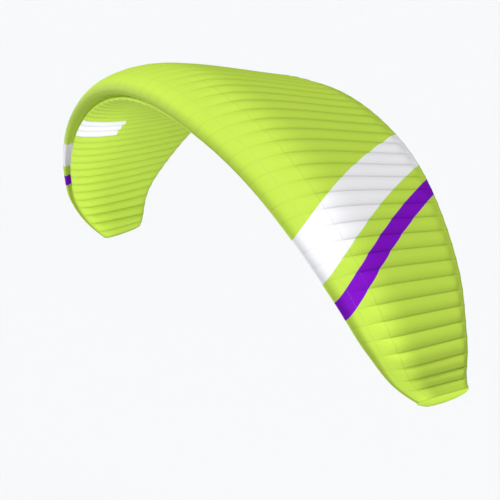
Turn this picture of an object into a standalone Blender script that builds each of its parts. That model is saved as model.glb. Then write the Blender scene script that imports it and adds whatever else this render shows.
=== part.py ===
"""Paraglider wing, inflated and flying level: a hollow ram-air canopy sewn from cloth panels.

X runs across the span, Y from the nose to the trailing edge, Z up. The origin is on the under side
of the centre rib, where its suspension line is sewn on. Each half has the same rows of panels:
upper sail, shaping panel, nose panel and lower sail, cut every few cells along a rib seam, and one
panel that closes the wing tip. The ribs' seams are the valleys between the blown-up cells.
"""

import bmesh
import bpy
import numpy as np

# Driving dimensions, in metres and degrees.
HALF_SPAN = 5.55  # along the cloth, from the centre rib to the tip rib
CELLS = 28  # in each half
CELLS_IN_PANEL = 4
COLUMNS = 3  # steps across one blown-up cell
TIP_CELLS_NARROW = 0.06  # the share by which cells are wider at the centre than their mean
CLOTH = 0.002  # thickness of every panel
SEAM = 0.0003  # between the edges of two panels sewn together
UPPER_BILLOW = 0.036  # height of a blown-up cell over its two rib seams
LOWER_BILLOW = 0.034
TIP_FLATTER = 0.6  # share of that height that the cells lose towards the tip rib
SCALLOP = 0.005  # how far the trailing edge draws in between two ribs
TIP_BULGE = 0.09  # how far the tip panel stands out from the tip rib
TOE_OUT = 9.0  # twist of the tip rib, its trailing edge outward

# The wing along its span: share of the half span, lean of the cloth from level in degrees,
# chord, and how far the nose lies behind the centre's nose.
STATIONS = np.array([
    (0.00, 0.0, 2.92, 0.000),
    (0.20, 16.5, 2.92, 0.066),
    (0.40, 29.1, 2.72, 0.243),
    (0.60, 44.2, 2.33, 0.475),
    (0.75, 54.9, 1.93, 0.720),
    (0.87, 69.6, 1.49, 1.002),
    (0.95, 83.0, 1.11, 1.341),
    (1.00, 50.0, 0.76, 1.670),
])

# The rib's outline in shares of its chord. The upper and lower sails follow formulas.
UPPER_AT = np.array([1.0, 0.93, 0.79, 0.60, 0.42, 0.29, 0.20])
SHAPING_AT = np.array([0.13, 0.07])
NOSE_TOP_AT = np.array([0.045, 0.025, 0.011, 0.003, 0.0])
UNDER_NOSE = np.array([(0.004, -0.010), (0.016, -0.018)])
GROOVE = np.array([(0.057, -0.020), (0.059, -0.028)])
LIP = np.array([(0.045, -0.033), (0.043, -0.041), (0.056, -0.049)])  # the lower sail's front edge
LOWER_AT = np.array([0.09, 0.18, 0.35, 0.60, 0.84, 1.0])
ROUND_NOSE_AT = np.array([0.003, 0.011, 0.022, 0.031, 0.040, 0.051, 0.066])  # under side at the tip

# Panels by rows of the outline, which run from the trailing edge over the top and back below.
# The nose is smooth, so its panel takes one step across a cell.
PANELS = {
    "upper_sail": (0, 6, COLUMNS),
    "shaping_panel": (6, 8, COLUMNS),
    "nose_panel": (8, 19, 1),
    "lower_sail": (19, 26, COLUMNS),
}
NOSE_ROW = 13

CLOTHS = {
    "upper_cloth": ((0.48, 0.72, 0.08), ("upper_sail",)),
    "nose_cloth": ((0.55, 0.80, 0.10), ("shaping_panel", "nose_panel")),
    "lower_cloth": ((0.45, 0.68, 0.08), ("lower_sail",)),
    "tip_cloth": ((0.45, 0.70, 0.08), ("tip_panel",)),
}


def smooth(at, column):
    """A column of STATIONS at any share of the half span, by cubics through its rows."""
    knots, values = STATIONS[:, 0], STATIONS[:, column]
    slopes = np.gradient(values, knots)
    k = np.clip(np.searchsorted(knots, at, side="right") - 1, 0, len(knots) - 2)
    step = knots[k + 1] - knots[k]
    s = (at - knots[k]) / step
    return (
        values[k] * (1 + 2 * s) * (1 - s) ** 2
        + values[k + 1] * s**2 * (3 - 2 * s)
        + slopes[k] * step * s * (1 - s) ** 2
        - slopes[k + 1] * step * s**2 * (1 - s)
    )


def ramp(x, low, high):
    """0 below low, 1 above high and a smooth rise between."""
    s = np.clip((x - low) / (high - low), 0, 1)
    return s * s * (3 - 2 * s)


def rib_outline(at):
    """The rib at shares of the half span: points (station, row, along chord and across it).

    Its height falls off and its grooved nose turns round towards the tip.
    """
    top = np.concatenate([UPPER_AT, SHAPING_AT, NOSE_TOP_AT])
    upper = np.stack([top, 0.32 * np.sqrt(top) * (1 - top) * (1 - 0.63 * top)], axis=-1)
    lower = np.stack([LOWER_AT, -0.135 * (LOWER_AT + 0.02) ** 0.35 * (1 - LOWER_AT)], axis=-1)
    plain = np.stack([ROUND_NOSE_AT, -0.172 * np.sqrt(ROUND_NOSE_AT) * (1 - ROUND_NOSE_AT)], axis=-1)
    grooved = np.concatenate([UNDER_NOSE, GROOVE, LIP])
    grooved_share = (1 - ramp(at, 0.70, 1.00))[:, None, None]
    under = plain + (grooved - plain) * grooved_share
    many = lambda points: np.broadcast_to(points, (len(at), *points.shape))
    outline = np.concatenate([many(upper), under, many(lower)], axis=1)
    height = 1 - 0.45 * ramp(at, 0.86, 1.06) / ramp(1.0, 0.86, 1.06)
    return outline * np.stack([np.ones_like(height), height], axis=-1)[:, None]


def half_wing():
    """The right half's outer face and inner face, and the ways square to its ribs and rows.

    Columns go out along the span, from one rib seam over the blown-up cell to the next.
    """
    u = np.arange(COLUMNS * CELLS + 1) / (COLUMNS * CELLS)
    at = u * (1 + TIP_CELLS_NARROW * (1 - u**4))
    fine = np.linspace(0, 1, 801)
    lean = np.radians(smooth(fine, 1))
    step = HALF_SPAN / 800
    walk = lambda slope: np.concatenate([[0], np.cumsum((slope[1:] + slope[:-1]) / 2 * step)])
    across = np.interp(at, fine, walk(np.cos(lean)))
    down = np.interp(at, fine, walk(np.sin(lean)))
    lean = np.radians(smooth(at, 1))
    chord, sweep = smooth(at, 2), smooth(at, 3)
    cell = HALF_SPAN * np.gradient(at, u) / CELLS

    outline = rib_outline(at)
    share = outline[..., 0]
    points = outline * chord[:, None, None]
    upper = np.arange(share.shape[1]) <= NOSE_ROW
    # The two sails' inner faces end a seam apart at the trailing edge.
    points[..., 1] += np.where(upper, 1, -1) * (CLOTH + SEAM / 2) * ramp(share, 0.1, 1.0)

    # Cells blow up outward between their ribs, and hardly at all near the nose.
    along = np.gradient(points, axis=1)
    along /= np.linalg.norm(along, axis=2, keepdims=True)
    outward = np.stack([along[..., 1], -along[..., 0]], axis=-1)
    full = np.where(upper, UPPER_BILLOW * ramp(share, 0.06, 0.28), LOWER_BILLOW * ramp(share, 0.04, 0.20))
    full = full * (1 - ramp(share, 0.92, 1.0)) * (cell / cell[0])[:, None] ** 0.3
    full = full * (1 - TIP_FLATTER * ramp(at, 0.95, 1.0))[:, None]
    in_cell = (np.arange(len(u)) % COLUMNS)[:, None] / COLUMNS
    rise = 4 * in_cell * (1 - in_cell)
    points += outward * (full * rise)[..., None]
    points[..., 0] -= SCALLOP * rise * ramp(share, 0.80, 1.0)

    # Twist about the front third of the chord, then stand each rib square to the leaning cloth.
    turn = np.radians(TOE_OUT) * at[:, None] ** 6
    back = points[..., 0] - 0.3 * chord[:, None]
    y = 0.3 * chord[:, None] + back * np.cos(turn) - points[..., 1] * np.sin(turn)
    out = points[..., 1] * np.cos(turn) + back * np.sin(turn)
    place = lambda side, rise, aft: np.stack(np.broadcast_arrays(side, aft, rise), axis=-1)
    outer = place(
        across[:, None] + out * np.sin(lean)[:, None],
        -down[:, None] + out * np.cos(lean)[:, None],
        sweep[:, None] + y,
    )
    span = place(np.cos(lean), -np.sin(lean), 0.0)[:, None]

    # The inner face lies one cloth's thickness inside, with rib columns kept in the rib's plane.
    mirrored = np.concatenate([outer[1:2] * (-1, 1, 1), outer])
    to_tip = np.gradient(mirrored, axis=0)[1:]
    to_nose = np.gradient(outer, axis=1)
    normal = np.cross(to_nose, to_tip)
    normal -= np.where(in_cell[..., None] == 0, (normal * span).sum(2, keepdims=True) * span, 0)
    normal /= np.linalg.norm(normal, axis=2, keepdims=True)
    square = np.cross(to_tip, normal)
    square /= np.linalg.norm(square, axis=2, keepdims=True)
    inner = outer - CLOTH * normal
    # Both seams of the nose panel run straight from rib to rib.
    for seam_row in PANELS["nose_panel"][:2]:
        for grid in (outer, inner, square):
            ribs = grid[::COLUMNS, seam_row].copy()
            for k in range(1, COLUMNS):
                grid[k::COLUMNS, seam_row] = ribs[:-1] + (ribs[1:] - ribs[:-1]) * k / COLUMNS
    return outer, inner, span, square


def sheet_object(name, outer, inner, side):
    """One closed sheet between two grids of points, as an object with a seam's worth of rim."""
    columns, rows = outer.shape[:2]
    number = np.arange(columns * rows).reshape(columns, rows)
    under = number + columns * rows
    faces = []
    for i in range(columns - 1):
        for j in range(rows - 1):
            a, b, c, d = (i, j), (i + 1, j), (i + 1, j + 1), (i, j + 1)
            halves = ((a, b, d), (b, c, d)) if i % COLUMNS == COLUMNS - 1 else ((a, b, c), (a, c, d))
            for half in halves:
                faces.append([number[k] for k in half])
                faces.append([under[k] for k in reversed(half)])
    edge = [*number[:-1, 0], *number[-1, :-1], *number[:0:-1, -1], *number[0, :0:-1]]
    # The rims of two neighbours are split along the same diagonals, so that they stay parallel.
    for a, b in zip(edge, edge[1:] + edge[:1]):
        far_a, far_b = a + columns * rows, b + columns * rows
        faces += [[b, a, far_a], [b, far_a, far_b]] if a < b else [[b, a, far_b], [a, far_a, far_b]]

    work = bmesh.new()
    corner = (side, 1, 1)
    verts = [work.verts.new(p * corner) for p in (*outer.reshape(-1, 3), *inner.reshape(-1, 3))]
    for face in faces:
        work.faces.new([verts[k] for k in face]).smooth = True
    if work.calc_volume(signed=True) < 0:
        bmesh.ops.reverse_faces(work, faces=work.faces)
    mesh = bpy.data.meshes.new(name)
    work.to_mesh(mesh)
    work.free()
    thing = bpy.data.objects.new(name, mesh)
    bpy.context.scene.collection.objects.link(thing)
    return thing


def panel(name, wing, cells, rows, steps, side, origin):
    """The sail panel between two rib seams and two rows, drawn in by half a seam all round."""
    outer, inner, span, square = wing
    columns = [COLUMNS * cell for cell in cells]
    i, j = slice(columns[0], columns[1] + 1, COLUMNS // steps), slice(rows[0], rows[1] + 1)
    faces = [grid[i, j].copy() for grid in (outer, inner)]
    for face in faces:
        face[0] += span[columns[0]] * SEAM / 2
        face[-1] -= span[columns[1]] * SEAM / 2
        if rows[0] > 0:
            face[:, 0] += square[i, rows[0]] * SEAM / 2
        if rows[1] < outer.shape[1] - 1:
            face[:, -1] -= square[i, rows[1]] * SEAM / 2
        face -= origin
    return sheet_object(name, *faces, side)


def tip_panel(name, wing, side, origin):
    """The blown-up panel that closes the tip rib, from its upper edge across to its lower one."""
    outer, inner, span, _ = wing
    out = span[-1, 0]
    across = np.linspace(0, 1, 5)[:, None, None]
    bulge = np.sqrt(np.clip(4 * across * (1 - across), 0, 1))
    faces = []
    for ring, height in ((outer[-1], TIP_BULGE), (inner[-1], TIP_BULGE - CLOTH)):
        upper, lower = ring[: NOSE_ROW + 1], ring[: NOSE_ROW - 1 : -1]
        face = upper + (lower - upper) * across
        gap = np.linalg.norm(outer[-1][: NOSE_ROW + 1] - outer[-1][: NOSE_ROW - 1 : -1], axis=1)
        share = np.sqrt(gap / gap.max())[:, None]
        share[0] = share[-1] = 0
        faces.append(face + out * (height * bulge * share + SEAM / 2) - origin)
    return sheet_object(name, *faces, side)


def cloth(name, colour):
    """Coated ripstop cloth: matt, with a slight sheen."""
    material = bpy.data.materials.new(name)
    material.use_nodes = True
    shader = material.node_tree.nodes["Principled BSDF"]
    shader.inputs["Base Color"].default_value = (*colour, 1)
    shader.inputs["Roughness"].default_value = 0.6
    shader.inputs["Metallic"].default_value = 0.0
    return material


def build():
    for thing in list(bpy.data.objects):
        bpy.data.objects.remove(thing)
    materials = {}
    for name, (colour, kinds) in CLOTHS.items():
        made = cloth(name, colour)
        materials.update({kind: made for kind in kinds})

    wing = half_wing()
    # The centre rib's under side at 30% of the chord, where its line is sewn on.
    chord = STATIONS[0, 2]
    under = wing[0][0, NOSE_ROW:]
    aft = 0.30 * chord
    origin = np.array([0.0, aft, np.interp(aft, under[-6:, 1], under[-6:, 2])])

    for side, hand in ((1, "R"), (-1, "L")):
        for group in range(CELLS // CELLS_IN_PANEL):
            cells = (CELLS_IN_PANEL * group, CELLS_IN_PANEL * (group + 1))
            for kind, (first, last, steps) in PANELS.items():
                name = f"{kind}_{hand}{group + 1}"
                thing = panel(name, wing, cells, (first, last), steps, side, origin)
                thing.data.materials.append(materials[kind])
        thing = tip_panel(f"tip_panel_{hand}", wing, side, origin)
        thing.data.materials.append(materials["tip_panel"])


build()
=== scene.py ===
"""The look of the paraglider wing: its sewn cloth, the light and the camera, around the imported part.

X runs across the span, Y from the nose to the trailing edge, Z up, all in metres. Each half has 28
cells, which lie between cloth ribs that stand inside the wing, so only the ribs' seams show.
"""

import bpy
import numpy as np
from mathutils import Matrix, Vector


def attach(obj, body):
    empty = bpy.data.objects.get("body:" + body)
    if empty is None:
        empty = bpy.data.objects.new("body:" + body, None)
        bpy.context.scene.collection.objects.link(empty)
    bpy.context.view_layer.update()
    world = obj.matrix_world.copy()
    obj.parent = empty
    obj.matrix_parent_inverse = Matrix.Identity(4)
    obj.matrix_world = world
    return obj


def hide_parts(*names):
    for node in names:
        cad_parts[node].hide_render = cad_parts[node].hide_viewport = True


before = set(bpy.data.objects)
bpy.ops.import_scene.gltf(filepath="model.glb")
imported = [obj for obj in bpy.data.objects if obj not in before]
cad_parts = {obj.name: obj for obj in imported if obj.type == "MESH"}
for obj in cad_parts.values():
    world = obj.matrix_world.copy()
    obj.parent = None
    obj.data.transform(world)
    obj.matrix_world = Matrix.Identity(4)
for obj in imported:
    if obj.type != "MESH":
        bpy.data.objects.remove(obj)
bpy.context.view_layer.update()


# Upper sail: panels of coated ripstop nylon from the trailing edge forward to a fifth of the chord,
# sewn to each other and to the ribs with the seam inside, where air blows them up into round cells.
# Each seam draws the cloth into small puckers, and a darker line is painted along it: partly the
# double layer of cloth there, partly painted shade of the seam's crease.

HALF_SPAN = 5.55  # along the cloth, from the centre rib to the tip rib
CELLS = 28  # in each half
TIP_CELLS_NARROW = 0.06
CLOTH = 0.002
TOE_OUT, TOE_OUT_LATE = 9.0, 6  # degrees at the tip, and the power of the span that they grow with
UPPER_BILLOW, LOWER_BILLOW, NOSE_BILLOW = 0.036, 0.034, 0.002  # how high the cells stand on the ribs
UPPER_FILLS, LOWER_FILLS = (0.06, 0.28), (0.04, 0.20)  # shares of the chord over which they fill out
NOSE_FILLS = 6  # rows of the outline below the nose tip, for the same
BILLOW_ENDS = (0.92, 1.0)  # shares of the chord over which the cells go flat again
NARROW_FLATTER = 0.3  # power of a cell's width that its height goes with
TIP_FLATTER = 0.6  # share of the height that the cells lose towards the tip rib
TIP_FLAT_FROM = 0.95  # share of the span where that sets in
SCALLOP = 0.005  # how far each cell's trailing edge is drawn forward
SCALLOP_FROM = 0.80  # share of the chord where that sets in
SAILS_PART = (0.1, 1.0)  # shares of the chord over which the two sails make room for their cloth
ROOT_CHORD = 2.92
WALK_STEPS = 800

# Share of the half span, lean in degrees, chord, how far the nose lies behind the centre's nose.
STATIONS = np.array([
    (0.00, 0.0, ROOT_CHORD, 0.000),
    (0.20, 16.5, ROOT_CHORD, 0.066),
    (0.40, 29.1, 2.72, 0.243),
    (0.60, 44.2, 2.33, 0.475),
    (0.75, 54.9, 1.93, 0.720),
    (0.87, 69.6, 1.49, 1.002),
    (0.95, 83.0, 1.11, 1.341),
    (1.00, 50.0, 0.76, 1.670),
])

# The rib's outline in shares of its chord, from the trailing edge over the top and back below.
TOP_AT = np.array([
    1.0, 0.93, 0.79, 0.60, 0.42, 0.29, 0.20, 0.13, 0.07, 0.045, 0.025, 0.011, 0.003, 0.0,
])
TOP_HEIGHT, TOP_TAPER = 0.32, 0.63
GROOVED_NOSE = np.array([
    (0.004, -0.010), (0.016, -0.018), (0.057, -0.020), (0.059, -0.028),
    (0.045, -0.033), (0.043, -0.041), (0.056, -0.049),
])
ROUND_NOSE_AT = np.array([0.003, 0.011, 0.022, 0.031, 0.040, 0.051, 0.066])
ROUND_NOSE_DEPTH = 0.172
GROOVE_FADES = (0.70, 1.00)  # shares of the span
LOWER_AT = np.array([0.09, 0.18, 0.35, 0.60, 0.84, 1.0])
BELLY_DEPTH, BELLY_SHIFT, BELLY_FULLNESS = 0.135, 0.02, 0.35
THINS_OVER, TIP_THINNER = (0.86, 1.06), 0.45  # shares of the span, share of the height lost at the tip
NOSE_ROW = len(TOP_AT) - 1
LAST_ROW = NOSE_ROW + len(ROUND_NOSE_AT) + len(LOWER_AT)


def ramp(x, low, high):
    """0 below low, 1 above high and the smooth rise s^2 (3 - 2 s) between."""
    s = np.clip((x - low) / (high - low), 0, 1)
    return s * s * (3 - 2 * s)


def cubic(knots, values, slopes, at):
    """Read at any place, the curve of cubics that has the given values and slopes at the knots."""
    k = np.clip(np.searchsorted(knots, at, side="right") - 1, 0, len(knots) - 2)
    shape = (-1,) + (1,) * (values.ndim - 1)
    step = (knots[k + 1] - knots[k]).reshape(shape)
    s = (at - knots[k]).reshape(shape) / step
    ends = values[k] * (1 + 2 * s) * (1 - s) ** 2 + values[k + 1] * s**2 * (3 - 2 * s)
    return ends + step * s * (1 - s) * (slopes[k] * (1 - s) - slopes[k + 1] * s)


def station(at, column):
    """A column of STATIONS at any share of the half span."""
    knots, values = STATIONS[:, 0], STATIONS[:, column]
    return cubic(knots, values, np.gradient(values, knots), at)


def rib_outline(row, at):
    """Points (row, share of the span, along or across the chord) on the ribs, in shares of the chord.

    On top, height is TOP_HEIGHT root(x) (1 - x) (1 - TOP_TAPER x). Below, a cubic runs through the
    rows' points, where a grooved nose with a lip turns to a round one, -depth root(x) (1 - x), near
    the tip, and behind it lies a belly, -depth (x + shift)^fullness (1 - x).
    """
    root = np.interp(row, np.arange(NOSE_ROW + 1), np.sqrt(TOP_AT))[:, None] + 0 * at
    top = np.stack([root**2, TOP_HEIGHT * root * (1 - root**2) * (1 - TOP_TAPER * root**2)], axis=-1)

    plain_depth = ROUND_NOSE_DEPTH * np.sqrt(ROUND_NOSE_AT) * (1 - ROUND_NOSE_AT)
    plain = np.stack([ROUND_NOSE_AT, -plain_depth], axis=-1)
    grooved = (1 - ramp(at, *GROOVE_FADES))[None, :, None]
    belly_depth = BELLY_DEPTH * (LOWER_AT + BELLY_SHIFT) ** BELLY_FULLNESS * (1 - LOWER_AT)
    belly = np.stack([LOWER_AT, -belly_depth], axis=-1)
    under = np.concatenate([
        np.zeros((1, len(at), 2)),
        plain[:, None] + (GROOVED_NOSE - plain)[:, None] * grooved,
        np.broadcast_to(belly[:, None], (len(belly), len(at), 2)),
    ])
    length = np.linalg.norm(np.diff(under[:, 0], axis=0), axis=1)
    knots = np.concatenate([[0], np.cumsum(length)])
    slopes = np.empty_like(under)
    slopes[1:-1] = (under[2:] - under[:-2]) / (knots[2:] - knots[:-2])[:, None, None]
    slopes[0] = (0, -1)
    slopes[-1] = (under[-1] - under[-2]) / length[-1]
    below = cubic(knots, under, slopes, np.interp(row, np.arange(NOSE_ROW, LAST_ROW + 1), knots))

    height = 1 - TIP_THINNER * ramp(at, *THINS_OVER) / ramp(1.0, *THINS_OVER)
    outline = np.where((row <= NOSE_ROW)[:, None, None], top, below)
    return outline * np.stack([np.ones_like(height), height], axis=-1)


def share_of_span(cell):
    """Where on the half span a rib lies: u (1 + narrower (1 - u^4)), with u its number over CELLS.

    Ribs are numbered from the centre, where the cells are a little wider.
    """
    u = cell / CELLS
    return u * (1 + TIP_CELLS_NARROW * (1 - u**4))


def wing_surface(row, cell):
    """The outer face at rows of the outline and at cells from the centre.

    Each cell is blown up by the arc 4 v (1 - v) between its two ribs, square to the section. The
    ribs stand square to the cloth, whose lean runs down the arch, and the tips are toed out.
    Returns the points (row, cell, xyz), the ways out of the wing and the shares of the chord.
    """
    at = share_of_span(cell)
    fine = np.linspace(0, 1, WALK_STEPS + 1)
    lean = np.radians(station(fine, 1))
    slope = np.stack([np.cos(lean), np.sin(lean)])
    walk = np.cumsum((slope[:, 1:] + slope[:, :-1]) / 2 * np.diff(fine), axis=1) * HALF_SPAN
    across, down = (np.interp(at, fine, np.append(0, part)) for part in walk)
    lean = np.radians(station(at, 1))
    chord, sweep = station(at, 2), station(at, 3)

    outline = rib_outline(row, at)
    share = outline[..., 0]
    points = outline * chord[:, None]
    side = np.where(row <= NOSE_ROW, 1, -1)[:, None]
    points[..., 1] += side * CLOTH * ramp(share, *SAILS_PART)
    along = np.gradient(points, axis=0)
    along /= np.linalg.norm(along, axis=2, keepdims=True)
    outward = np.stack([along[..., 1], -along[..., 0]], axis=-1)

    v = cell % 1
    rise = 4 * v * (1 - v)
    widths = np.gradient(share_of_span(np.arange(CELLS + 1.0)))
    narrow = widths[np.minimum(cell.astype(int), CELLS - 1)]
    under_nose = NOSE_BILLOW * ramp(row, NOSE_ROW, NOSE_ROW + NOSE_FILLS)[:, None]
    full = np.where(
        side > 0,
        NOSE_BILLOW + (UPPER_BILLOW - NOSE_BILLOW) * ramp(share, *UPPER_FILLS),
        under_nose + LOWER_BILLOW * ramp(share, *LOWER_FILLS),
    )
    full = full * (1 - ramp(share, *BILLOW_ENDS)) * (narrow / narrow.max()) ** NARROW_FLATTER
    full = full * (1 - TIP_FLATTER * ramp(at, TIP_FLAT_FROM, 1.0))
    points += outward * (full * rise)[..., None]
    points[..., 0] -= SCALLOP * rise * ramp(share, SCALLOP_FROM, 1.0)

    turn = np.radians(TOE_OUT) * at**TOE_OUT_LATE

    def stood(flat):
        """Turned by the toe-out and stood on the leaning cloth."""
        y = flat[..., 0] * np.cos(turn) - flat[..., 1] * np.sin(turn)
        out = flat[..., 1] * np.cos(turn) + flat[..., 0] * np.sin(turn)
        return np.stack([out * np.sin(lean), y, out * np.cos(lean)], axis=-1)

    pivot = LINE_AT * np.stack([chord, 0 * chord], axis=-1)
    base = np.stack([across, sweep + pivot[:, 0], -down], axis=-1)
    return base + stood(points - pivot) - ORIGIN, stood(outward), share


# The origin is on the centre rib's lower seam, where a line is sewn on. Until that place is found,
# the surface is worked out from the rib's nose.
LINE_AT = 0.30  # share of the chord
ORIGIN = np.zeros(3)
seam = wing_surface(np.arange(NOSE_ROW, LAST_ROW + 1.0), np.zeros(1))[0][-len(LOWER_AT):, 0]
aft = LINE_AT * ROOT_CHORD
ORIGIN = np.array([0.0, aft, np.interp(aft, seam[:, 1], seam[:, 2])])

UPPER_SAIL_ROWS, UPPER_SAIL_STEPS = (0, 6), 110
CELLS_IN_PANEL = 4
PANELS = range(1, CELLS // CELLS_IN_PANEL + 1)  # in each half, from the centre
STEPS_IN_CELL, GATHER_IN_CELL = 12, 0.7
STEPS_IN_ROW = 40  # for measuring along the outline
AWAY = 1.0  # metres to a seam or hem that a piece hasn't got
SEAM_DIP, SEAM_REACH = 0.0015, 0.006  # how far a seam draws the cloth in, and over what width
PUCKER, PUCKER_LENGTH, PUCKER_REACH, PUCKER_FADE = 0.0012, 0.075, 0.030, 0.1
PUCKER_SHIFT = 2.4  # radians from one rib's puckers to the next one's
HEM, HEM_FOLD, HEM_RISE = 0.022, 0.008, 0.0006  # the cloth turned in along the trailing edge


def spread(first, last, count, gather=0.9):
    """Count + 1 places from first to last, even ones less a sine wave: closer together at both ends."""
    s = np.linspace(0, 1, count + 1)
    return first + (last - first) * (s - gather * np.sin(2 * np.pi * s) / (2 * np.pi))


def rows_along(first, last, count):
    """Rows of the outline between two of its rows, even along the cloth and closer at the edges."""
    fine = np.linspace(0, LAST_ROW, STEPS_IN_ROW * LAST_ROW + 1)
    root = rib_outline(fine, np.zeros(1))[:, 0]
    length = np.concatenate([[0], np.cumsum(np.linalg.norm(np.diff(root, axis=0), axis=1))])
    return np.interp(spread(*np.interp((first, last), fine, length), count), length, fine)


def cells_across(first, last):
    """Places across a panel's cells, closer together at the ribs."""
    in_cell = spread(0, 1, STEPS_IN_CELL, GATHER_IN_CELL)[:-1]
    return np.append((np.arange(first, last)[:, None] + in_cell).ravel(), last)


def walked(points, axis):
    """Distance along a grid of points in one of its two directions, from its first row or column."""
    step = np.linalg.norm(np.diff(points, axis=axis), axis=2)
    zero = np.zeros_like(np.take(step, [0], axis=axis))
    return np.concatenate([zero, np.cumsum(step, axis=axis)], axis=axis)


def cloth_size(outer):
    """The cut cloth's greatest width and length along the grid, and its area.

    A small quad's area is half the length of the cross product of its two diagonals.
    """
    falling, rising = outer[1:, 1:] - outer[:-1, :-1], outer[1:, :-1] - outer[:-1, 1:]
    area = np.linalg.norm(np.cross(falling, rising), axis=2).sum() / 2
    return walked(outer, 1)[:, -1].max(), walked(outer, 0)[-1].max(), area


def closed_sheet(name, outer, inner, side, facts, creased=()):
    """A thin closed sheet between two grids, mirrored for side -1, with sharp creases down columns.

    facts are its point attributes, each of three numbers for a point.
    """
    rows, columns = outer.shape[:2]
    number = np.arange(rows * columns).reshape(rows, columns)
    face = np.stack([number[:-1, :-1], number[1:, :-1], number[1:, 1:], number[:-1, 1:]], axis=-1)
    face = face.reshape(-1, 4)
    edge = np.concatenate([number[0, :-1], number[:-1, -1], number[-1, :0:-1], number[:0:-1, 0]])
    following = np.roll(edge, -1)
    rim = np.stack([edge, following, following + number.size, edge + number.size], axis=-1)
    faces = np.concatenate([face, face[:, ::-1] + number.size, rim])
    if side < 0:
        faces = faces[:, ::-1]
    points = np.concatenate([outer.reshape(-1, 3), inner.reshape(-1, 3)]) * (side, 1, 1)
    mesh = bpy.data.meshes.new(name)
    mesh.from_pydata(points, [], faces.tolist())
    mesh.polygons.foreach_set("use_smooth", np.arange(len(faces)) < 2 * len(face))
    ends = np.empty(2 * len(mesh.edges), dtype=int)
    mesh.edges.foreach_get("vertices", ends)
    column = ends.reshape(-1, 2) % number.size % columns
    sharp = (column[:, 0] == column[:, 1]) & np.isin(column[:, 0], creased)
    mesh.attributes.new("sharp_edge", "BOOLEAN", "EDGE").data.foreach_set("value", sharp)
    for fact, values in facts.items():
        both = np.tile(np.stack(np.broadcast_arrays(*values), axis=-1).reshape(-1, 3), (2, 1))
        mesh.attributes.new(fact, "FLOAT_VECTOR", "POINT").data.foreach_set("vector", both.ravel())
    thing = bpy.data.objects.new(name, mesh)
    bpy.context.scene.collection.objects.link(thing)
    return thing


def sew_panel(kind, number, side, rows, pucker, material):
    """One panel of four cells, in place of its CAD solid.

    Out of the wing's surface stands the pucker, a cosine along the chord that dies away
    exponentially from the rib. A bell curve of the way to the nearest seam dips in, and the hem is
    a low step.
    """
    first = CELLS_IN_PANEL * (number - 1)
    cell = cells_across(first, first + CELLS_IN_PANEL)
    outer, out, share = wing_surface(rows, cell)
    along, span = walked(outer, 0), HALF_SPAN * share_of_span(cell)
    width = HALF_SPAN * (share_of_span(np.floor(cell) + 1) - share_of_span(np.floor(cell)))
    to_rib = np.minimum(cell % 1, 1 - cell % 1) * width + 0 * along
    to_edge = np.minimum(along, along[-1] - along)
    wave = np.cos(2 * np.pi * along / PUCKER_LENGTH + PUCKER_SHIFT * np.round(cell))
    height = pucker * wave * np.exp(-to_rib / PUCKER_REACH) * ramp(to_edge, 0, PUCKER_FADE)
    height -= SEAM_DIP * np.exp(-(np.minimum(to_rib, to_edge) / SEAM_REACH) ** 2)
    to_hem = AWAY + 0 * along
    if rows[0] == 0:
        to_hem = along
    elif rows[-1] == LAST_ROW:
        to_hem = along[-1] - along
    height += HEM_RISE * (1 - ramp(to_hem, HEM, HEM + HEM_FOLD))
    outer = outer + out * height[..., None]
    hand = "R" if side > 0 else "L"
    facts = {
        "place": (cell, share, rows[:, None]),
        "weave": (span, along, 0),
        "seams": (to_rib, to_edge, to_hem),
    }
    ribs = np.flatnonzero(cell % 1 == 0)
    name = f"{kind}_cloth_{hand}{number}"
    thing = closed_sheet(name, outer, outer - CLOTH * out, side, facts, creased=ribs)
    thing.data.materials.append(material)
    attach(thing, "root")
    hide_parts(f"{kind}_{hand}{number}")
    width, length, area = cloth_size(outer)
    return thing


class Amount:
    """A number that varies over the cloth. Its sums and products add Math nodes."""

    def __init__(self, tree, socket):
        self.tree, self.socket = tree, socket

    def math(self, operation, *others):
        made = node(self.tree, "ShaderNodeMath", (self, *others), operation=operation)
        return Amount(self.tree, made)

    def __add__(self, other):
        return self.math("ADD", other)

    def __sub__(self, other):
        return self.math("SUBTRACT", other)

    def __rsub__(self, other):
        return self.math("MULTIPLY", -1).math("ADD", other)

    def __mul__(self, other):
        return self.math("MULTIPLY", other)

    def __truediv__(self, other):
        return self.math("DIVIDE", other)

    __radd__, __rmul__ = __add__, __mul__

    def eased(self, low, high, first, last):
        """first below one bound and last above another, smoothly between."""
        inputs = (self, low, high, first, last)
        made = node(self.tree, "ShaderNodeMapRange", inputs, interpolation_type="SMOOTHSTEP")
        return Amount(self.tree, made)

    def between(self, low, high, soft):
        """1 between two bounds and 0 outside them, over a soft edge."""
        middle, half = (low + high) / 2, (high - low) / 2
        inside = (half - (self - middle).math("ABSOLUTE")) / soft + 0.5
        return inside.math("MAXIMUM", 0).math("MINIMUM", 1)


def node(tree, kind, inputs=(), output=0, **settings):
    """Adds a node with its settings, then values or links for its sockets, and returns an output."""
    made = tree.nodes.new(kind)
    for name, value in settings.items():
        setattr(made, name, value)
    named = inputs.items() if isinstance(inputs, dict) else enumerate(inputs)
    for key, value in named:
        value = value.socket if isinstance(value, Amount) else value
        if isinstance(value, bpy.types.NodeSocket):
            tree.links.new(value, made.inputs[key])
        else:
            made.inputs[key].default_value = value
    return made.outputs[output]


def mix(tree, share, first, second, blend="MIX"):
    """A colour from first to second by share, or from first to the two blended in another way."""
    inputs = {0: share, 6: first, 7: second}
    return node(tree, "ShaderNodeMix", inputs, 2, data_type="RGBA", blend_type=blend)


def read(tree, name):
    """The three numbers of a point attribute."""
    vector = node(tree, "ShaderNodeAttribute", (), 1, attribute_name=name)
    split = tree.nodes.new("ShaderNodeSeparateXYZ")
    tree.links.new(vector, split.inputs[0])
    return [Amount(tree, part) for part in split.outputs]


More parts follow.
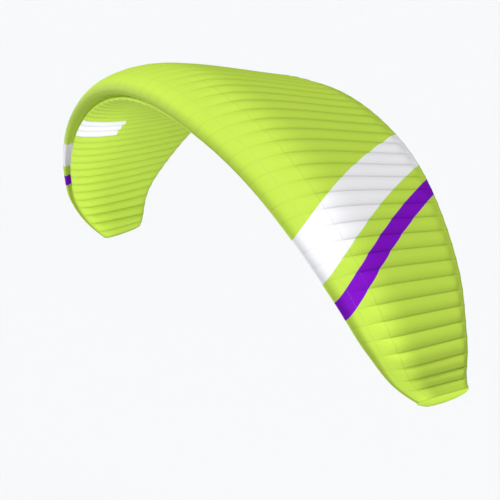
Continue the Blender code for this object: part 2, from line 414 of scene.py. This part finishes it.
LIME, WHITE, PURPLE = (0.427, 0.60, 0.064), (0.72, 0.72, 0.74), (0.17, 0.005, 0.43)
THREAD = (0.75, 0.77, 0.65)
SEAM_LINE_REACH = (0.005, 0.018)  # metres from a seam over which its darker line ends: double cloth and painted shade
RIB_SHADE_REACH = (0.005, 0.06)  # metres from a rib over which the painted shade beside it fades out
RIB_SHADE_TWICE, RIB_SHADE_ONCE = 6, 16  # cells: twice as deep up to the first, once from the second
RIPSTOP, RIPSTOP_RISE, RIPSTOP_SHADE = 0.005, 0.00008, 0.03  # the grid of thicker threads
RIPSTOP_THREAD = (0.42, 0.50)  # shares of the grid's step, from between two threads to on one
# HEM_SHADE darkens the hem: partly its double layer of cloth, partly painted shade at the trailing edge.
HEM_SHADE, HEM_EDGE = 0.18, 0.006
STITCH, STITCH_RISE, STITCH_SHADE = 0.005, 0.0003, 0.15
STITCH_LINE, STITCH_LINE_EDGE = (0.0036, 0.0048), 0.0003  # metres from the seam
STITCH_SHOWS, STITCH_END = (0.15, 0.85), 0.1  # shares of a stitch's length
RELIEF = 0.6
ROUGHNESS, SHEEN = 0.55, 0.03
BRIGHTEST = 0.95  # no cloth throws back more than this of any colour


def sailcloth(name, design, painted_light, seam_shade, rib_shade=0.0, stitched=False):
    """Coated ripstop nylon with a soft sheen: the cloth's colour times a factor for shade.

    design(cell, share) gives pairs of a cloth's colour and where it is set into the lime.
    painted_light(cell, share, row) is a smooth factor, fitted to how light each region should look:
    painted light and shade, which stands in for shade and glow that the lamps below don't give. It
    isn't a known property of the cloth, it stays on the cloth in any light, and 1 everywhere leaves it
    out. It is multiplied by what these leave of the light: a darker line along each seam, partly its
    double layer of cloth and partly painted shade of its crease; painted shade beside the ribs, where
    the cells curve in to them; the grid of thicker threads; and the hem, darker from its double layer
    and from painted shade at the trailing edge.
    """
    material = bpy.data.materials.new(name)
    material.use_nodes = True
    tree = material.node_tree
    shader = tree.nodes["Principled BSDF"]
    cell, share, row = read(tree, "place")
    span, along, _ = read(tree, "weave")
    to_rib, to_edge, to_hem = read(tree, "seams")

    colour = (*LIME, 1)
    for cloth, where in design(cell, share):
        colour = mix(tree, where, colour, (*cloth, 1))
    # A darker line along each seam: partly the double layer of cloth, partly painted shade of the crease.
    seam_line_and_shade = to_rib.math("MINIMUM", to_edge).eased(*SEAM_LINE_REACH, 1, 0)
    # Painted shade beside the ribs, where the cells curve in to the seams, twice as deep near the centre.
    painted_rib_shade = to_rib.eased(*RIB_SHADE_REACH, 1, 0) * cell.eased(RIB_SHADE_TWICE, RIB_SHADE_ONCE, 2, 1)
    # The hem is darker: partly its double layer of cloth, partly painted shade at the trailing edge.
    hem = to_hem.eased(HEM, HEM + HEM_EDGE, 1, 0)
    threads = [
        ((way / RIPSTOP).math("FRACT") - 0.5).math("ABSOLUTE").eased(*RIPSTOP_THREAD, 0, 1)
        for way in (span, along)
    ]
    grid = threads[0].math("MAXIMUM", threads[1])
    shade = seam_line_and_shade * seam_shade + painted_rib_shade * rib_shade + grid * RIPSTOP_SHADE + hem * HEM_SHADE
    light = (1 - shade) * painted_light(cell, share, row)
    light = node(tree, "ShaderNodeCombineColor", (light, light, light))
    colour = mix(tree, 1.0, colour, light, "MULTIPLY")
    colour = mix(tree, 1.0, colour, (BRIGHTEST, BRIGHTEST, BRIGHTEST, 1), "DARKEN")
    relief = grid * RIPSTOP_RISE
    if stitched:
        in_line = to_edge.between(*STITCH_LINE, STITCH_LINE_EDGE)
        stitch = in_line * (span / STITCH).math("FRACT").between(*STITCH_SHOWS, STITCH_END)
        colour = mix(tree, stitch * STITCH_SHADE, colour, (*THREAD, 1))
        relief = relief + stitch * STITCH_RISE

    tree.links.new(colour, shader.inputs["Base Color"])
    bump = node(tree, "ShaderNodeBump", {"Strength": RELIEF, "Distance": 1.0, "Height": relief})
    tree.links.new(bump, shader.inputs["Normal"])
    shader.inputs["Roughness"].default_value = ROUGHNESS
    shader.inputs["Specular IOR Level"].default_value = SHEEN
    return material


SASH = (16.0, 19.0)  # cells from the centre at the nose that the white sash spans
BAND = (20.2, 21.4)  # and the purple band beside it
SLANT = 7.0  # cells that both run inward over the chord
SEWN_IN = 0.02  # share of a cell over which two colours meet


def sash_and_band(cell, share):
    """The set-in colours, where cell + SLANT share lies within the sash or within the band."""
    straight = cell + share * SLANT
    return [(WHITE, straight.between(*SASH, SEWN_IN)), (PURPLE, straight.between(*BAND, SEWN_IN))]


def upper_painted_light(cell, share, row):
    """0.85 over the front, eased to 0.67 behind, and paler by 0.24 of that over the tip's front.

    The trailing edge is darker by 0.08 of that near the centre and by 0.16 of it from cell 22 on.
    """
    tip = share.eased(0.15, 0.45, 1, 0.1) * cell.eased(18, 27, 0, 0.24)
    end = 1 - share.eased(0.88, 0.96, 0, 1) * cell.eased(10, 22, 0.08, 0.16)
    return share.eased(0.12, 0.42, 0.85, 0.67) * end * (1 + tip)


upper_cloth = sailcloth("upper_sailcloth", sash_and_band, upper_painted_light, seam_shade=0.11)
upper_rows = rows_along(*UPPER_SAIL_ROWS, UPPER_SAIL_STEPS)
for side in (1, -1):
    for number in PANELS:
        panel = sew_panel("upper_sail", number, side, upper_rows, PUCKER, upper_cloth)


# Shaping panels: a smooth strip between the upper sail and the nose, cut apart from them so that the
# cloth can take up the double curve there. Lapped seams join it, so their stitches show.

SHAPING_ROWS, SHAPING_STEPS = (6, 8), 24


def nose_painted_light(cell, share, row):
    """0.83 over the top, eased to 0.65 at the nose tip, row 13, and 0.40 more on the lip's rim.

    The top is paler by up to 0.24 of itself at the wing's tip, as on the upper sail. A factor for
    each of four bands of rows, eased along the span, then multiplies it. Towards the wing's tip, the
    crease above the nose tip and the groove's wall, rows 15 and 16, go darker, and the underside
    before the wall goes paler. The lip, from row 16 on, is paler, most of all near the centre.
    """
    tip = row.eased(8.5, 10.5, 1, 0) * cell.eased(18, 27, 0, 0.24)
    front = row.eased(10.0, 12.6, 0.83, 0.65) * (1 + tip) + row.eased(16.5, 18.5, 0, 0.40)
    crease = 1 - row.between(9.8, 11.7, 1.0) * cell.eased(16, 22, 0, 0.17)
    underside = 1 + row.between(12.6, 14.4, 0.6) * cell.eased(10, 18, 0, 0.45)
    wall = 1 - row.between(14.6, 15.8, 0.5) * cell.eased(14, 20, 0, 0.22)
    lip = 1 + row.between(15.5, 18.0, 0.6) * cell.eased(14, 20, 0.50, 0.18)
    return front * crease * underside * wall * lip


nose_cloth = sailcloth("nose_sailcloth", sash_and_band, nose_painted_light, seam_shade=0.04, stitched=True)
shaping_rows = rows_along(*SHAPING_ROWS, SHAPING_STEPS)
for side in (1, -1):
    for number in PANELS:
        panel = sew_panel("shaping_panel", number, side, shaping_rows, 0, nose_cloth)


# Nose panels: cloth held smooth by rods along the ribs, from the shaping panels round the nose and
# through the groove below it to the lip, where the lower sail starts.

NOSE_ROWS, NOSE_STEPS = (8, 19), 64

nose_rows = rows_along(*NOSE_ROWS, NOSE_STEPS)
for side in (1, -1):
    for number in PANELS:
        panel = sew_panel("nose_panel", number, side, nose_rows, 0, nose_cloth)


# Lower sail: ripstop panels from the lip to the trailing edge, sewn like the upper ones. They are
# blown up a little less, and their colour carries painted shade beside the ribs.

LOWER_SAIL_ROWS, LOWER_SAIL_STEPS = (19, 26), 110
BLOCK_CELLS = (11.0, 14.0)
BLOCK_CHORD, BLOCK_EDGE = (-0.1, 0.30), 0.002  # shares of the chord, from ahead of the lip


def nose_block(cell, share):
    """A white block over the front of the lower sail, between two ribs."""
    return [(WHITE, cell.between(*BLOCK_CELLS, SEWN_IN) * share.between(*BLOCK_CHORD, BLOCK_EDGE))]


def lower_painted_light(cell, share, row):
    """1.21 over the front, eased to 1.05 behind, and darker by 0.24 of that near the centre.

    The lip's own edge, as far as row 19.1, is left out of that last part.
    """
    middle = row.eased(19.1, 19.6, 0, 1) * cell.eased(2, 14, 0.24, 0)
    return share.eased(0.12, 0.50, 1.21, 1.05) * (1 - middle)


# Only the lower sail has painted shade beside its ribs.
lower_cloth = sailcloth("lower_sailcloth", nose_block, lower_painted_light, seam_shade=0.11, rib_shade=0.09)
lower_rows = rows_along(*LOWER_SAIL_ROWS, LOWER_SAIL_STEPS)
for side in (1, -1):
    for number in PANELS:
        panel = sew_panel("lower_sail", number, side, lower_rows, PUCKER, lower_cloth)


# Tip panels: one piece of cloth closes the last rib on each side, sewn round it with the seam inside,
# and is blown up like a cushion.

TIP_BULGE = 0.09
TIP_STEPS, TIP_STEPS_ROUND = 80, 24
LEAST_GAP = 0.01  # metres between the tip rib's edges, where its cloth thins out
TIP_PAINTED_LIGHT = 0.82


def no_design(cell, share):
    """Plain lime."""
    return []


def sew_tip(side, hand):
    """The cushion over the tip rib: straight from its upper to its lower edge, and out from there.

    Over a step s from edge to edge it stands out by the bulge times root(4 s (1 - s)), times the
    root of the rib's height there over its greatest height.
    """
    row = rows_along(0, NOSE_ROW, TIP_STEPS)
    tip_rib = np.array([float(CELLS)])
    (upper, _, share), (lower, _, _) = (wing_surface(rows, tip_rib) for rows in (row, LAST_ROW - row))
    upper, lower = upper[:, 0], lower[:, 0]
    lean = np.radians(STATIONS[-1, 1])
    out = np.array([np.cos(lean), 0, -np.sin(lean)])
    step = np.linspace(0, 1, TIP_STEPS_ROUND + 1)[:, None, None]
    gap = np.linalg.norm(upper - lower, axis=1)
    full = np.sqrt(gap / gap.max())[:, None] * np.sqrt(4 * step * (1 - step))
    full[:, [0, -1]] = 0
    outer = upper + (lower - upper) * step + out * TIP_BULGE * full
    inner = upper + (lower - upper) * step + out * (TIP_BULGE - CLOTH) * full
    inner += (0.5 - step) * 2 * CLOTH * (lower - upper) / np.maximum(gap, LEAST_GAP)[:, None]
    outer, inner = outer.swapaxes(0, 1), inner.swapaxes(0, 1)
    along, round_tip = walked(outer, 0), walked(outer, 1)
    to_edge = np.minimum(round_tip, round_tip[:, -1:] - round_tip)
    facts = {
        "place": (CELLS, share + 0 * along, 0),
        "weave": (round_tip, along, 0),
        "seams": (AWAY, to_edge, AWAY),
    }
    panel = closed_sheet(f"tip_panel_cloth_{hand}", outer, inner, side, facts)
    panel.data.materials.append(tip_cloth)
    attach(panel, "root")
    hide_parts(f"tip_panel_{hand}")
    width, length, area = cloth_size(outer)


def tip_painted_light(cell, share, row):
    """The same over the whole panel."""
    return TIP_PAINTED_LIGHT


tip_cloth = sailcloth("tip_sailcloth", no_design, tip_painted_light, seam_shade=0.03)
sew_tip(1, "R")
sew_tip(-1, "L")


# Floor: a plain pale sheet far below the wing, wide enough to fill the view.

FLOOR_Z, FLOOR_REACH = -14.0, 300.0
FLOOR_COLOUR = (0.641, 0.647, 0.659)

corners = np.array([(-1, -1), (1, -1), (1, 1), (-1, 1)]) * FLOOR_REACH
floor_mesh = bpy.data.meshes.new("floor")
floor_mesh.from_pydata([(x, y, FLOOR_Z) for x, y in corners], [], [(0, 1, 2, 3)])
floor = bpy.data.objects.new("floor", floor_mesh)
bpy.context.scene.collection.objects.link(floor)
floor_paint = bpy.data.materials.new("floor_paint")
floor_paint.use_nodes = True
floor_shader = floor_paint.node_tree.nodes["Principled BSDF"]
floor_shader.inputs["Base Color"].default_value = (*FLOOR_COLOUR, 1)
floor_shader.inputs["Roughness"].default_value = 1.0
floor_shader.inputs["Specular IOR Level"].default_value = 0.0
floor_mesh.materials.append(floor_paint)


# Light: a faint even sky and four wide lamps. The key hangs overhead, a little to the +X side, the
# front lamp reaches under the arch to the far lower sail, and the far side's lights the nose.

SKY_COLOUR, SKY_STRENGTH = (0.97, 0.98, 1.0), 0.05
LAMP_WIDTH = 25.0  # degrees
LAMPS = (  # name, the way to the lamp, its strength over pi
    ("key", (0.12, -0.15, 0.96), 1.14),
    ("front", (0.89, -0.43, 0.12), 0.74),
    ("near_side", (0.62, -0.10, 0.78), 0.16),
    ("far_side", (-0.86, -0.50, 0.03), 1.25),
)

world = bpy.data.worlds.new("sky")
world.use_nodes = True
world.node_tree.nodes["Background"].inputs["Color"].default_value = (*SKY_COLOUR, 1)
world.node_tree.nodes["Background"].inputs["Strength"].default_value = SKY_STRENGTH
bpy.context.scene.world = world
for name, way, strength in LAMPS:
    lamp_data = bpy.data.lights.new(name, "SUN")
    lamp_data.energy, lamp_data.angle = np.pi * strength, np.radians(LAMP_WIDTH)
    lamp = bpy.data.objects.new(name, lamp_data)
    lamp.rotation_euler = Vector(way).to_track_quat("Z", "Y").to_euler()
    bpy.context.scene.collection.objects.link(lamp)


# Camera: in front of the +X half and a little above it, looking along the nose to the far tip.

CAMERA_AT = np.array([13.960, -8.483, 2.825])
CAMERA_TURN, CAMERA_TILT, CAMERA_ROLL = np.radians((55.594, -16.547, 1.977))
LENS, SENSOR = 88.22, 36.0  # millimetres
SEES_TO = 1000.0  # metres

turn_cos, turn_sin = np.cos(CAMERA_TURN), np.sin(CAMERA_TURN)
tilt_cos, tilt_sin = np.cos(CAMERA_TILT), np.sin(CAMERA_TILT)
forward = np.array([-turn_sin * tilt_cos, turn_cos * tilt_cos, tilt_sin])
right = np.array([turn_cos, turn_sin, 0])
up = np.cross(right, forward)
rolled_right = right * np.cos(CAMERA_ROLL) + up * np.sin(CAMERA_ROLL)
rolled_up = up * np.cos(CAMERA_ROLL) - right * np.sin(CAMERA_ROLL)

camera_data = bpy.data.cameras.new("camera")
camera_data.lens, camera_data.sensor_width, camera_data.clip_end = LENS, SENSOR, SEES_TO
camera = bpy.data.objects.new("camera", camera_data)
stand = np.column_stack([rolled_right, rolled_up, -forward, CAMERA_AT])
camera.matrix_world = Matrix([*stand, (0, 0, 0, 1)])
bpy.context.scene.collection.objects.link(camera)
bpy.context.scene.camera = camera
bpy.context.scene.view_settings.view_transform = "Standard"
